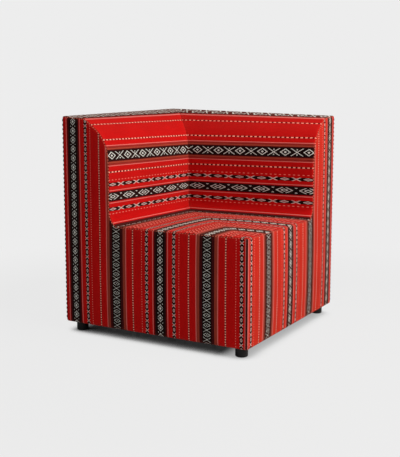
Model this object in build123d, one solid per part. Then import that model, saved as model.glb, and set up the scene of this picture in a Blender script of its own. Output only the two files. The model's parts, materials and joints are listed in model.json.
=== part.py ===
from build123d import *
import math
import os

# Corner module of a majlis seating run: a square upholstered block on four low feet, with a fixed seat
# and two backs that meet in a mitred inner corner. Millimetres, +Z up, origin on the floor under the
# middle of the square plan. The front faces -Y. The open sides of the seat are the front and the right,
# and the left and rear sides carry the backs. The vertical plane through the front right and rear left
# corners is the mitre plane, and each rear or right piece that has a twin is its mirror image there.

# Overall sizes
module_side = 750
body_height = 760
foot_height = 35
seat_rise = 370

# Outline of a back, seen on its end
back_thickness = 205
top_fall = 11
slope_start = 104
slope_drop = 95
slope_top_radius = 40
slope_foot_radius = 150
flare_height = 48
flare_reach = 28
edge_radius = 8

# Soft layers
cover_thickness = 2
soft_clearance = 0.3
side_pad_thickness = 10
top_pad_thickness = 15
seat_foam_thickness = 110
seat_crown = 6
deck_cloth_thickness = 1.5
dust_cover_thickness = 1
dust_cover_margin = 6

# Boards and timber
outer_board_thickness = 6
inner_board_thickness = 9
post_size = 50
rail_thickness = 22
base_rail_height = 45
seat_rail_height = 70
top_rail_height = 22
stud_thickness = 22

# Elastic webbing and its staples
webbing_thickness = 2
webbing_width = 60
webbing_count = 5
staple_crown = 12
staple_leg = 8
staple_wire = 1.2
staple_clearance = 0.1
staple_inset = 8

# Screws and foot fixings
screw_diameter = 5
screw_head_diameter = 9
screw_head_height = 3
frame_screw_length = 90
short_screw_length = 45
batten_height = 45
batten_screw_inset = 10
screw_clearance = 0.2
screw_stagger_share = 0.22
foot_diameter = 43
foot_edge_radius = 5
foot_top_chamfer = 1
foot_bore_depth = 22
stud_diameter = 8
foot_stud_rise = 24
insert_diameter = 12
insert_length = 18
fixing_clearance = 0.3
cut_overrun = 5

# Levels
body_bottom = foot_height
body_top = body_bottom + body_height
seat_top = body_bottom + seat_rise
frame_bottom = body_bottom + dust_cover_thickness
frame_top = body_top - cover_thickness - top_pad_thickness
foam_gap = cover_thickness + soft_clearance
seat_foam_top = seat_top - foam_gap
seat_foam_bottom = seat_foam_top - seat_foam_thickness
deck_cloth_bottom = seat_foam_bottom - deck_cloth_thickness
side_rail_top = deck_cloth_bottom - webbing_thickness
end_rail_top = side_rail_top - webbing_thickness
base_rail_top = frame_bottom + base_rail_height

# Distances in from an outer face of the module
pad_inner = cover_thickness + side_pad_thickness
frame_face = pad_inner + outer_board_thickness
rail_inner = frame_face + rail_thickness
post_inner = frame_face + post_size
board_inner = post_inner + inner_board_thickness
batten_inner = board_inner + rail_thickness
foot_inset = frame_face + post_size / 2
seat_back_line = back_thickness + flare_reach

half = module_side / 2
mitre_plane = Plane(origin=(0, 0, 0), z_dir=(1, 1, 0))


def from_left(distance):
    return distance - half


def from_right(distance):
    return half - distance


def from_front(distance):
    return distance - half


def from_rear(distance):
    return half - distance


def block(x_range, y_range, z_range):
    """Upright block that fills three ranges."""
    low = Vector(x_range[0], y_range[0], z_range[0])
    size = Vector(x_range[1], y_range[1], z_range[1]) - low
    corner = (Align.MIN, Align.MIN, Align.MIN)
    return Pos(low) * Box(size.X, size.Y, size.Z, align=corner)


def twin(piece):
    """The same piece on the other side of the mitre plane."""
    return mirror(piece, about=mitre_plane)


def left_of_mitre(piece, gap=0):
    """The part of a piece on the front left side of the mitre plane, kept clear of it by half a gap."""
    clear = gap / 2
    cut = Plane(origin=(-clear, -clear, 0), z_dir=(1, 1, 0))
    return split(piece, bisect_by=cut, keep=Keep.BOTTOM)


# Falls of the lines of a back's outline, as angles below the level, and the meeting point of the outer
# face's line and the top's, which is a little higher than the rounded edge between them

upright_fall = math.pi / 2
top_fall_angle = math.atan2(top_fall, slope_start)
slope_angle = math.atan2(slope_drop - top_fall, back_thickness - slope_start)
crest = body_top + edge_radius * (math.tan(top_fall_angle) + 1 / math.cos(top_fall_angle) - 1)


def drawn_in_corner(distance, level, fall_before, fall_after, inset):
    """A corner of the outline where the line turns down, drawn in by an inset."""
    middle = (fall_before + fall_after) / 2
    reach = inset / math.cos((fall_after - fall_before) / 2)
    return (from_left(distance) - reach * math.sin(middle), 0, level - reach * math.cos(middle))


def end_outline(inset, reach, low):
    """End outline of the left back on the XZ plane, drawn in by an inset, with the seat out to a reach."""
    outer = from_left(inset)
    wall = from_left(back_thickness - inset)
    flare_radius = (flare_height**2 + flare_reach**2) / (2 * flare_reach)
    flare_top = seat_top + flare_height
    toe_level = seat_top - inset
    arc_radius = flare_radius + inset
    arc_centre = from_left(back_thickness + flare_radius)
    sweep = math.asin((flare_top - toe_level) / arc_radius)
    toe = arc_centre - arc_radius * math.cos(sweep)
    arc_middle_x = arc_centre - arc_radius * math.cos(sweep / 2)
    arc_middle_z = flare_top - arc_radius * math.sin(sweep / 2)

    corners = [
        (outer, 0, low),
        drawn_in_corner(0, crest, -upright_fall, top_fall_angle, inset),
        drawn_in_corner(slope_start, crest - top_fall, top_fall_angle, slope_angle, inset),
        drawn_in_corner(back_thickness, crest - slope_drop, slope_angle, upright_fall, inset),
        (wall, 0, flare_top),
    ]
    radii = [edge_radius - inset, slope_top_radius - inset, slope_foot_radius - inset]
    upper = FilletPolyline(*corners, radius=radii)
    flare = ThreePointArc(corners[-1], (arc_middle_x, 0, arc_middle_z), (toe, 0, toe_level))
    seat_line = [(toe, 0, toe_level)]
    if reach > toe:
        seat_line.append((reach, 0, toe_level))
    closing = Polyline(*seat_line, (max(reach, toe), 0, low), corners[0])
    return make_face(upper + flare + closing)


def wall_form(inset, front, rear, low=body_bottom):
    """The left back down to a level, drawn in by an inset, between a front and a rear distance along Y."""
    outline = end_outline(inset, from_left(0), low)
    return Pos(0, front, 0) * extrude(outline, amount=rear - front, dir=(0, 1, 0))


# Feet and what fastens them

foot_places = {
    "front_left": (from_left(foot_inset), from_front(foot_inset)),
    "front_right": (from_right(foot_inset), from_front(foot_inset)),
    "rear_left": (from_left(foot_inset), from_rear(foot_inset)),
    "rear_right": (from_right(foot_inset), from_rear(foot_inset)),
}


def upright(diameter, low, high):
    """Upright round bar between two levels, on the Z axis."""
    on_base = (Align.CENTER, Align.CENTER, Align.MIN)
    return Pos(0, 0, low) * Cylinder(diameter / 2, high - low, align=on_base)


def foot():
    """Short moulded foot with a rounded sole edge and a blind bore for its stud."""
    body = upright(foot_diameter, 0, foot_height)
    edges = body.edges().filter_by(GeomType.CIRCLE).sort_by(Axis.Z)
    body = fillet(edges[0], foot_edge_radius)
    edges = body.edges().filter_by(GeomType.CIRCLE).sort_by(Axis.Z)
    body = chamfer(edges[-1], foot_top_chamfer)
    bore = stud_diameter + 2 * fixing_clearance
    return body - upright(bore, foot_height - foot_bore_depth, foot_height + cut_overrun)


def foot_stud():
    """Threaded stud, shown plain, from the foot's bore up into the post."""
    low = foot_height - foot_bore_depth
    return upright(stud_diameter, low, frame_bottom + foot_stud_rise)


def threaded_insert():
    """Threaded sleeve in the lower end of a post, shown plain."""
    sleeve = upright(insert_diameter, frame_bottom, frame_bottom + insert_length)
    bore = stud_diameter + 2 * fixing_clearance
    return sleeve - upright(bore, frame_bottom - cut_overrun, frame_bottom + insert_length + cut_overrun)


def foot_fixing_hole():
    """Room in a post for the sleeve and the tip of the stud."""
    sleeve_room = upright(insert_diameter, frame_bottom - cut_overrun, frame_bottom + insert_length)
    stud_room = stud_diameter + 2 * fixing_clearance
    tip_level = frame_bottom + foot_stud_rise + fixing_clearance
    return sleeve_room + upright(stud_room, frame_bottom, tip_level)


def at_each_foot(piece):
    return [Pos(x, y, 0) * piece for x, y in foot_places.values()]


# Screws of the frame

rail_middle = frame_face + rail_thickness / 2
post_middle = frame_face + post_size / 2


def screw(length, grow=0):
    """Countersunk wood screw along +Z with its head's face at the origin, or its hole if it grows."""
    radius = screw_diameter / 2 + grow
    head_radius = screw_head_diameter / 2 + grow
    on_base = (Align.CENTER, Align.CENTER, Align.MIN)
    shank = Cylinder(radius, length + grow, align=on_base)
    return shank + Cone(head_radius, radius, screw_head_height, align=on_base)


def frame_screw_places():
    """Start and direction of each screw through a post into the end of a rail."""
    base = (frame_bottom + base_rail_height / 2, screw_stagger_share * base_rail_height)
    seat = (end_rail_top - seat_rail_height / 2, screw_stagger_share * seat_rail_height)
    top = (frame_top - top_rail_height / 2, screw_stagger_share * top_rail_height)
    rails_along_x = [
        (from_front(rail_middle), base),
        (from_front(rail_middle), seat),
        (from_rear(rail_middle), base),
        (from_rear(post_middle), top),
    ]
    rails_along_y = [
        (from_left(rail_middle), base),
        (from_left(post_middle), top),
        (from_right(rail_middle), base),
        (from_right(rail_middle), seat),
    ]
    places = []
    for line, (middle, stagger) in rails_along_x:
        level = middle + stagger
        places.append(((from_left(frame_face), line, level), (1, 0, 0)))
        places.append(((from_right(frame_face), line, level), (-1, 0, 0)))
    for line, (middle, stagger) in rails_along_y:
        level = middle - stagger
        places.append(((line, from_front(frame_face), level), (0, 1, 0)))
        places.append(((line, from_rear(frame_face), level), (0, -1, 0)))
    return places


def frame_screws(grow=0):
    """The long screws at the rail ends, or their holes."""
    make = screw(frame_screw_length, grow)
    return [Plane(origin=start, z_dir=way) * make for start, way in frame_screw_places()]


def short_screws(grow=0):
    """The screws that hold the seat battens and the studs, or their holes."""
    make = screw(short_screw_length, grow)
    batten_level = side_rail_top - batten_height / 2
    batten_face = from_left(batten_inner)
    by_the_post = from_front(post_inner - batten_screw_inset)
    left_ones = [
        Plane(origin=(batten_face, by_the_post, batten_level), z_dir=(-1, 0, 0)) * make,
        Plane(origin=(batten_face, 0, batten_level), z_dir=(-1, 0, 0)) * make,
        Plane(origin=(from_left(post_middle), 0, frame_top), z_dir=(0, 0, -1)) * make,
    ]
    return left_ones + [twin(piece) for piece in left_ones]


screw_holes = frame_screws(screw_clearance) + short_screws(screw_clearance)


def drilled(piece):
    """A timber piece or board with the holes of all screws that cross it."""
    return piece - screw_holes


# Timber frame

def post(place, top):
    """Corner post with the fixing hole for its foot."""
    x, y = foot_places[place]
    reach = post_size / 2
    body = block((x - reach, x + reach), (y - reach, y + reach), (frame_bottom, top))
    return drilled(body - Pos(x, y, 0) * foot_fixing_hole())


def front_rail(low, high):
    """Rail between the left inner board and the front right post."""
    x_range = (from_left(board_inner), from_right(post_inner))
    return drilled(block(x_range, (from_front(frame_face), from_front(rail_inner)), (low, high)))


def right_rail(low, high):
    """Rail between the front right post and the rear inner board."""
    y_range = (from_front(post_inner), from_rear(board_inner))
    return drilled(block((from_right(rail_inner), from_right(frame_face)), y_range, (low, high)))


def left_rail(inner, low, high):
    """Rail between the front left and rear left posts."""
    y_range = (from_front(post_inner), from_rear(post_inner))
    return drilled(block((from_left(frame_face), from_left(inner)), y_range, (low, high)))


def rear_rail(inner, low, high):
    """Rail between the rear left and rear right posts."""
    x_range = (from_left(post_inner), from_right(post_inner))
    return drilled(block(x_range, (from_rear(inner), from_rear(frame_face)), (low, high)))


def left_back_stud():
    """Upright in the middle of the left back."""
    reach = stud_thickness / 2
    x_range = (from_left(frame_face), from_left(post_inner))
    return drilled(block(x_range, (-reach, reach), (base_rail_top, frame_top - top_rail_height)))


def rear_back_stud():
    """Upright in the middle of the rear back."""
    reach = stud_thickness / 2
    y_range = (from_rear(post_inner), from_rear(frame_face))
    return drilled(block((-reach, reach), y_range, (base_rail_top, frame_top - top_rail_height)))


def left_seat_batten():
    """Batten on the left inner board that carries the webbing's ends."""
    x_range = (from_left(board_inner), from_left(batten_inner))
    y_range = (from_front(rail_inner), from_rear(board_inner))
    return drilled(block(x_range, y_range, (side_rail_top - batten_height, side_rail_top)))


def rear_seat_batten():
    """Batten on the rear inner board, between the left batten and the right rail."""
    x_range = (from_left(batten_inner), from_right(rail_inner))
    y_range = (from_rear(batten_inner), from_rear(board_inner))
    return drilled(block(x_range, y_range, (end_rail_top - batten_height, end_rail_top)))


timber = {
    "post_front_left": post("front_left", frame_top),
    "post_front_right": post("front_right", end_rail_top),
    "post_rear_left": post("rear_left", frame_top),
    "post_rear_right": post("rear_right", frame_top),
    "base_rail_front": front_rail(frame_bottom, base_rail_top),
    "base_rail_right": right_rail(frame_bottom, base_rail_top),
    "base_rail_left": left_rail(rail_inner, frame_bottom, base_rail_top),
    "base_rail_rear": rear_rail(rail_inner, frame_bottom, base_rail_top),
    "seat_rail_front": front_rail(end_rail_top - seat_rail_height, end_rail_top),
    "seat_rail_right": right_rail(side_rail_top - seat_rail_height, side_rail_top),
    "seat_batten_left": left_seat_batten(),
    "seat_batten_rear": rear_seat_batten(),
    "top_rail_left": left_rail(post_inner, frame_top - top_rail_height, frame_top),
    "top_rail_rear": rear_rail(post_inner, frame_top - top_rail_height, frame_top),
    "back_stud_left": left_back_stud(),
    "back_stud_rear": rear_back_stud(),
}


# Boards

def left_inner_board():
    """Plywood that carries the left back's foam."""
    x_range = (from_left(post_inner), from_left(board_inner))
    y_range = (from_front(frame_face), from_rear(post_inner))
    return drilled(block(x_range, y_range, (frame_bottom, frame_top)))


def rear_inner_board():
    """Plywood that carries the rear back's foam and meets the left one edge to face."""
    x_range = (from_left(board_inner), from_right(frame_face))
    y_range = (from_rear(board_inner), from_rear(post_inner))
    return drilled(block(x_range, y_range, (frame_bottom, frame_top)))


def outer_boards():
    """Thin boards under the side pads, butted round the frame."""
    left_x = (from_left(pad_inner), from_left(frame_face))
    rear_y = (from_rear(frame_face), from_rear(pad_inner))
    front_y = (from_front(pad_inner), from_front(frame_face))
    right_x = (from_right(frame_face), from_right(pad_inner))
    full_height = (frame_bottom, frame_top)
    base_height = (frame_bottom, end_rail_top)
    back_height = (end_rail_top, frame_top)
    to_right = (from_left(frame_face), from_right(pad_inner))
    inside_right = (from_front(frame_face), from_rear(frame_face))
    return {
        "outer_board_left": block(left_x, (from_front(pad_inner), from_rear(pad_inner)), full_height),
        "outer_board_rear": block(to_right, rear_y, full_height),
        "outer_board_front": block(to_right, front_y, base_height),
        "outer_board_right": block(right_x, inside_right, base_height),
        "end_board_left_back": block((from_left(frame_face), from_left(board_inner)), front_y, back_height),
        "end_board_rear_back": block(right_x, (from_rear(board_inner), from_rear(frame_face)), back_height),
    }


boards = {
    "inner_board_left": left_inner_board(),
    "inner_board_rear": rear_inner_board(),
    **outer_boards(),
}


# Webbing, staples and deck cloth

def webbing_middles(low, high):
    """Middle lines of the straps, evenly spread between two rails."""
    pitch = (high - low) / webbing_count
    return [low + pitch * (index + 1 / 2) for index in range(webbing_count)]


strap_reach = webbing_width / 2
rows_along_x = webbing_middles(from_front(rail_inner), from_rear(batten_inner))
rows_along_y = webbing_middles(from_left(batten_inner), from_right(rail_inner))


def staple(grow=0):
    """Staple with its crown's top at the origin, its legs down, and its crown along Y."""
    reach = staple_crown / 2 + grow
    wire = staple_wire / 2 + grow
    leg_inner = staple_crown / 2 - staple_wire - grow
    crown = block((-wire, wire), (-reach, reach), (-staple_wire - grow, 0))
    foot_level = -staple_leg - grow
    near_leg = block((-wire, wire), (-reach, -leg_inner), (foot_level, 0))
    far_leg = block((-wire, wire), (leg_inner, reach), (foot_level, 0))
    return crown + near_leg + far_leg


def staples_along_x(grow=0):
    """One staple at each end of each strap that runs along X."""
    ends = (from_left(board_inner + staple_inset), from_right(frame_face + staple_inset))
    top = deck_cloth_bottom
    return [Pos(x, y, top) * staple(grow) for y in rows_along_x for x in ends]


def staples_along_y(grow=0):
    """One staple at each end of each strap that runs along Y, turned to lie across it."""
    ends = (from_front(frame_face + staple_inset), from_rear(board_inner + staple_inset))
    turned = Rot(0, 0, 90) * staple(grow)
    return [Pos(x, y, side_rail_top) * turned for x in rows_along_y for y in ends]


def straps_along_x():
    """Elastic straps from the left batten to the right seat rail."""
    x_range = (from_left(board_inner), from_right(frame_face))
    levels = (side_rail_top, deck_cloth_bottom)
    holes = staples_along_x(staple_clearance)
    return [block(x_range, (y - strap_reach, y + strap_reach), levels) - holes for y in rows_along_x]


def straps_along_y():
    """Elastic straps from the front seat rail to the rear batten, under the others."""
    y_range = (from_front(frame_face), from_rear(board_inner))
    levels = (end_rail_top, side_rail_top)
    holes = staples_along_y(staple_clearance)
    return [block((x - strap_reach, x + strap_reach), y_range, levels) - holes for x in rows_along_y]


def deck_cloth():
    """Woven cloth between the webbing and the seat foam."""
    x_range = (from_left(board_inner), from_right(frame_face))
    y_range = (from_front(frame_face), from_rear(board_inner))
    return block(x_range, y_range, (deck_cloth_bottom, seat_foam_bottom))


for name in ("seat_batten_left", "seat_rail_right"):
    timber[name] -= staples_along_x(staple_clearance)
for name in ("seat_rail_front", "seat_batten_rear"):
    timber[name] -= staples_along_y(staple_clearance)


# Foam and pads

def seat_foam():
    """Foam block over the whole deck, under the backs as well."""
    x_range = (from_left(board_inner + soft_clearance), from_right(foam_gap))
    y_range = (from_front(foam_gap), from_rear(board_inner + soft_clearance))
    return block(x_range, y_range, (seat_foam_bottom, seat_foam_top))


def left_back_foam():
    """Foam in front of the left inner board, sloped on top and flared at the seat, mitred at the corner."""
    form = wall_form(foam_gap, from_front(foam_gap), half)
    x_range = (from_left(board_inner + soft_clearance), half)
    levels = (seat_foam_top + soft_clearance, body_top)
    y_range = (-module_side, module_side)
    return left_of_mitre(form & block(x_range, y_range, levels), soft_clearance)


def left_top_pad():
    """Thin pad over the top of the left back's frame, mitred at the corner."""
    form = wall_form(foam_gap, from_front(foam_gap), half)
    x_range = (from_left(pad_inner), from_left(board_inner))
    y_range = (-module_side, module_side)
    return left_of_mitre(form & block(x_range, y_range, (frame_top, body_top)), soft_clearance)


def left_side_pad():
    """Thin pad over the left outer board, rounded at its top edge and mitred at the rear corner."""
    form = wall_form(foam_gap, from_front(foam_gap), half, frame_bottom + soft_clearance)
    x_range = (-module_side, from_left(pad_inner - soft_clearance))
    pad = form & block(x_range, (-module_side, module_side), (0, body_top))
    return left_of_mitre(pad, soft_clearance)


def left_end_pad():
    """Thin pad over the end of the left back's frame."""
    x_range = (from_left(pad_inner), from_left(board_inner))
    y_range = (from_front(foam_gap), from_front(pad_inner - soft_clearance))
    return block(x_range, y_range, (seat_foam_bottom, frame_top - soft_clearance))


def front_side_pad():
    """Thin pad over the front board, below the seat foam."""
    x_range = (from_left(pad_inner), from_right(foam_gap))
    y_range = (from_front(foam_gap), from_front(pad_inner - soft_clearance))
    levels = (frame_bottom + soft_clearance, seat_foam_bottom - soft_clearance)
    return block(x_range, y_range, levels)


def right_side_pad():
    """Thin pad over the right board, between the front and rear pads."""
    x_range = (from_right(pad_inner - soft_clearance), from_right(foam_gap))
    y_range = (from_front(pad_inner), from_rear(pad_inner))
    levels = (frame_bottom + soft_clearance, seat_foam_bottom - soft_clearance)
    return block(x_range, y_range, levels)


seat_x = (from_left(seat_back_line), from_right(cover_thickness))
seat_y = (from_front(cover_thickness), from_rear(seat_back_line))


def crown_face(level):
    """Crowned patch over the open part of the seat, straight along its four edges."""
    middle_weight = 4
    middle_x = sum(seat_x) / 2
    middle_y = sum(seat_y) / 2
    points = []
    for x in (seat_x[0], middle_x, seat_x[1]):
        line = []
        for y in (seat_y[0], middle_y, seat_y[1]):
            raised = x == middle_x and y == middle_y
            line.append((x, y, level + (middle_weight * seat_crown if raised else 0)))
        points.append(line)
    return Face.make_bezier_surface(points)


def seat_wadding():
    """Wadding on the seat foam that gives the seat its crown, skived away towards its edges."""
    level = seat_top - cover_thickness - soft_clearance
    corners = [(x, y, level) for x, y in zip(seat_x + seat_x[::-1], (seat_y[0],) * 2 + (seat_y[1],) * 2)]
    flat = make_face(Polyline(*corners, close=True))
    return Solid(Shell([crown_face(level), flat.face()]))


def seat_cover():
    """Crowned top panel of the seat, whole."""
    upper = crown_face(seat_top)
    lower = crown_face(seat_top - cover_thickness)
    sides = []
    for high_edge, low_edge in zip(upper.edges(), lower.edges()):
        sides.append(Face.make_surface_from_curves(high_edge, low_edge))
    return Solid(Shell([upper, lower, *sides]))


foam = {
    "seat_foam": seat_foam(),
    "left_back_foam": left_back_foam(),
    "rear_back_foam": twin(left_back_foam()),
    "top_pad_left_back": left_top_pad(),
    "top_pad_rear_back": twin(left_top_pad()),
    "seat_wadding": seat_wadding(),
    "side_pad_left": left_side_pad(),
    "side_pad_rear": twin(left_side_pad()),
    "side_pad_front": front_side_pad(),
    "side_pad_right": right_side_pad(),
    "end_pad_left_back": left_end_pad(),
    "end_pad_rear_back": twin(left_end_pad()),
}


# Fabric cover, cut at its seams

def front_cover():
    """Front panel: the seat's front and the end of the left back in one piece."""
    outline = end_outline(0, half, body_bottom)
    panel = Pos(0, -half, 0) * extrude(outline, amount=cover_thickness, dir=(0, 1, 0))
    return left_of_mitre(panel)


def left_outer_cover():
    """Outer panel of the left back, up to the rounding of its top edge."""
    x_range = (-half, from_left(cover_thickness))
    levels = (body_bottom, body_top - edge_radius)
    return left_of_mitre(block(x_range, (from_front(cover_thickness), module_side), levels))


def left_inner_cover():
    """Inner panel of the left back: its top, slope and wall, down to the seat."""
    outside = wall_form(0, from_front(cover_thickness), module_side)
    lining = wall_form(cover_thickness, -module_side, 2 * module_side, 0)
    behind = block(
        (-module_side, from_left(edge_radius)),
        (-module_side, 2 * module_side),
        (0, body_top - edge_radius),
    )
    below = block(
        (-module_side, module_side),
        (-module_side, 2 * module_side),
        (0, seat_top - cover_thickness),
    )
    return left_of_mitre(outside - lining - behind - below)


def front_seat_cover():
    """The half of the seat's top panel that runs back from the front edge to the diagonal seam."""
    return left_of_mitre(seat_cover())


covers = {
    "cover_front": front_cover(),
    "cover_right": twin(front_cover()),
    "cover_left_outer": left_outer_cover(),
    "cover_rear_outer": twin(left_outer_cover()),
    "cover_left_inner": left_inner_cover(),
    "cover_rear_inner": twin(left_inner_cover()),
    "cover_seat_front": front_seat_cover(),
    "cover_seat_right": twin(front_seat_cover()),
}


def dust_cover():
    """Thin cloth under the frame, with a hole for each foot stud."""
    margin = dust_cover_margin
    x_range = (from_left(margin), from_right(margin))
    y_range = (from_front(margin), from_rear(margin))
    sheet = block(x_range, y_range, (body_bottom, frame_bottom))
    hole = upright(stud_diameter + 2 * fixing_clearance, 0, frame_bottom + cut_overrun)
    return sheet - at_each_foot(hole)


# Write one file for each sub-part

feet = {f"foot_{place}": Pos(x, y, 0) * foot() for place, (x, y) in foot_places.items()}

nodes = {
    **feet,
    "foot_studs": Compound(children=at_each_foot(foot_stud())),
    "threaded_inserts": Compound(children=at_each_foot(threaded_insert())),
    **timber,
    **boards,
    "frame_screws": Compound(children=frame_screws() + short_screws()),
    "webbing_along_x": Compound(children=straps_along_x()),
    "webbing_along_y": Compound(children=straps_along_y()),
    "webbing_staples": Compound(children=staples_along_x() + staples_along_y()),
    "deck_cloth": deck_cloth(),
    **foam,
    **covers,
    "dust_cover": dust_cover(),
}

os.makedirs("parts", exist_ok=True)
for name, piece in nodes.items():
    export_step(piece, f"parts/{name}.step")
print(len(nodes), "sub-parts written")
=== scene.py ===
import json
import math
from functools import partialmethod, reduce

import bmesh
import bpy
import numpy as np
from mathutils import Color, Euler, Matrix, Vector
from mathutils.geometry import delaunay_2d_cdt


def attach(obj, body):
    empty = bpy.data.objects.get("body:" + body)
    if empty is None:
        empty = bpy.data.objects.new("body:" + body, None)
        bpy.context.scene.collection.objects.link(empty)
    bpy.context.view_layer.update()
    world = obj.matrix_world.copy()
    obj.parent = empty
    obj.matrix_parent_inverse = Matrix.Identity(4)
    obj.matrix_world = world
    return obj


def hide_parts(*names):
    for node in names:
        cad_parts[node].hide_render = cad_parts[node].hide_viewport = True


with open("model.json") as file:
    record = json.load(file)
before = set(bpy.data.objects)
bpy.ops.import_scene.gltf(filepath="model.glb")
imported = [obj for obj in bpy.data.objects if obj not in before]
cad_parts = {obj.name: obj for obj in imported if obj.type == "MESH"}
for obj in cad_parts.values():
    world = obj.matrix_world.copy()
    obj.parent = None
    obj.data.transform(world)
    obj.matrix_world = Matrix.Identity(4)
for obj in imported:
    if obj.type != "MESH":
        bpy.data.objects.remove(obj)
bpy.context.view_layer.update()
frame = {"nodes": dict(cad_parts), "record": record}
scene = bpy.context.scene

# Corner module of a majlis seating run, in metres, in the frame of its CAD model: the front faces -Y, and
# the backs stand on the left and rear sides. Each cover panel is a padded pattern piece, cut from woven
# cloth and sewn to its neighbours. The vertical plane through the front right and rear left corners is
# the mitre plane, and each rear or right panel is cut as the mirror image of its twin there.

# Overall sizes
module_side = 0.75
body_bottom = 0.035
body_top = 0.795
seat_top = 0.405
half = module_side / 2

# Outline of a back, seen on its end
back_thickness = 0.205
top_fall = 0.011
slope_start = 0.104
slope_drop = 0.095
slope_top_radius = 0.04
slope_foot_radius = 0.15
flare_height = 0.048
flare_reach = 0.028
outline_step = 0.007

# Padding
edge_radius = 0.008
seam_radius = 0.0013
seam_depth = 0.003
tuck_radius = 0.004
mitre_radius = 0.002
tuck_gap = 0.0003
hem_step = 0.0012
pad_depth = 0.0115
seat_depth = 0.112
seat_side_inset = 0.0122
hem_blend = 0.015
fill_spacing = 0.011
fill_clear_share = 0.62
same_point = 0.000001
corner_cosine = 0.97
panel_swell = 0.0028
seat_swell = 0.002
seat_crown = 0.002
corner_rise = 0.03
end_fall = 0.007
rise_fade_in = 0.26
rise_fade_down = 0.2
pucker_depth = 0.0008
pucker_spacing = 0.014
pucker_reach = 0.03
pucker_change = 0.16
pucker_change_length = 0.055
# How far in from a seam the paler tint reaches: partly wear, partly a painted highlight on the rounded edges
seam_wear_and_highlight_reach = 0.012
stitch_from = 0.0024
stitch_to = 0.0042
stitch_spacing = 0.0105
swell_reach = 0.09
drift_depth = 0.001
drift_length = 0.26
drift_length_range = (0.7, 1.6)
drift_waves = 6
cloth_pressure = 4
cloth_frames = 20

# Rings of points from the face of a padded piece to its back
seam_round_rings = 5
seam_turn_rings = 4
round_rings = 6
tuck_rings = 6
step_rings = 2
side_rings = 3


def smooth_step(value):
    """Eases a value from 0 to 1."""
    value = np.clip(value, 0, 1)
    return value * value * (3 - 2 * value)


# Outlines of the pattern pieces

def arc_points(start, corner, end, radius):
    """Points of the arc that rounds a corner between two points."""
    into = (corner - start) / np.linalg.norm(corner - start)
    out = (end - corner) / np.linalg.norm(end - corner)
    turn = math.acos(np.clip(into @ out, -1, 1))
    reach = radius * math.tan(turn / 2)
    side = math.copysign(1, into[0] * out[1] - into[1] * out[0])
    first = corner - into * reach
    centre = first + radius * side * np.array([-into[1], into[0]])
    count = max(2, math.ceil(radius * turn / outline_step)) + 1
    points = []
    for angle in np.linspace(0, side * turn, count):
        cosine, sine = math.cos(angle), math.sin(angle)
        points.append(centre + np.array([[cosine, -sine], [sine, cosine]]) @ (first - centre))
    return points


top_fall_angle = math.atan2(top_fall, slope_start)
crest = body_top + edge_radius * (math.tan(top_fall_angle) + 1 / math.cos(top_fall_angle) - 1)


def back_profile():
    """Top, slope, wall and flare of a back, as distance from its outer face and level."""
    corners = [
        np.array([0, crest]),
        np.array([slope_start, crest - top_fall]),
        np.array([back_thickness, crest - slope_drop]),
        np.array([back_thickness, seat_top + flare_height]),
    ]
    points = [corners[0]]
    points += arc_points(corners[0], corners[1], corners[2], slope_top_radius)
    points += arc_points(corners[1], corners[2], corners[3], slope_foot_radius)
    flare_radius = (flare_height**2 + flare_reach**2) / (2 * flare_reach)
    sweep = math.asin(flare_height / flare_radius)
    for angle in np.linspace(0, sweep, math.ceil(flare_radius * sweep / outline_step) + 1):
        x = back_thickness + flare_radius * (1 - math.cos(angle))
        z = seat_top + flare_height - flare_radius * math.sin(angle)
        points.append(np.array([x, z]))
    return np.array(points)


def lengths_along(points):
    """Distance of each point of a line from its start, along the line."""
    steps = np.linalg.norm(np.diff(points, axis=0), axis=1)
    return np.concatenate([[0], np.cumsum(steps)])


def spaced(points):
    """A line again, with points evenly spaced along it."""
    along = lengths_along(points)
    count = max(2, round(along[-1] / outline_step) + 1)
    at = np.linspace(0, along[-1], count)
    return np.stack([np.interp(at, along, part) for part in points.T], axis=1)


profile = spaced(back_profile())
profile_along = lengths_along(profile)
profile_length = profile_along[-1]
seat_line = back_thickness + flare_reach


def straight_runs(kinds, corners):
    """Straight runs of these kinds, each from a corner to the next, and from the last to the first."""
    ends = corners[1:] + corners[:1]
    return [(kind, np.array([start, end])) for kind, start, end in zip(kinds, corners, ends)]


def front_outline():
    """Runs of the front panel, counter-clockwise, as distance from the left edge and level."""
    low = [0, body_bottom]
    corners = [low, [module_side, body_bottom], [module_side, seat_top], profile[-1]]
    upright = [("seam", profile[::-1]), ("side", np.array([profile[0], low]))]
    return straight_runs(("hem", "join", "seam"), corners) + upright


def outer_outline():
    """Runs of an outer panel."""
    corners = [[0, body_bottom], [module_side, body_bottom], [module_side, crest], [0, crest]]
    return straight_runs(("hem", "seam", "seam", "side"), corners)


def seat_outline():
    """Runs of the seat's front half, as distance from the left and from the front."""
    corners = [[seat_line, 0], [module_side, 0], [seat_line, module_side - seat_line]]
    return straight_runs(("seam", "mitre", "tuck"), corners)


def inner_outline():
    """Runs of the left back's inner panel, as distance from the front and along the profile."""
    mitre = np.stack([module_side - profile[:, 0], profile_along], axis=1)
    low = [0, profile_length]
    runs = straight_runs(("seam", "seam"), [low, [0, 0], mitre[0]])
    return runs + [("mitre", mitre), ("tuck", np.array([mitre[-1], low]))]


# Edges of a padded piece: how far each ring lies inside the outline, how deep, and where it is on the cloth

def rolled_rings(radius, last_angle, count):
    """Rings on a rounding that starts level with the face."""
    rings = []
    for angle in np.linspace(0, last_angle, count):
        inset = radius * (1 - math.sin(angle))
        depth = radius * (1 - math.cos(angle))
        rings.append((inset, depth, radius * (1 - angle)))
    return rings


def led_to(rings, end, count):
    """More rings after these, in even steps to an inset and a depth."""
    inset, depth, cloth = rings[-1]
    shares = np.linspace(0, 1, count + 1)[1:]
    steps = [(inset + (end[0] - inset) * share, depth + (end[1] - depth) * share, cloth) for share in shares]
    return list(rings) + steps


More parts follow.
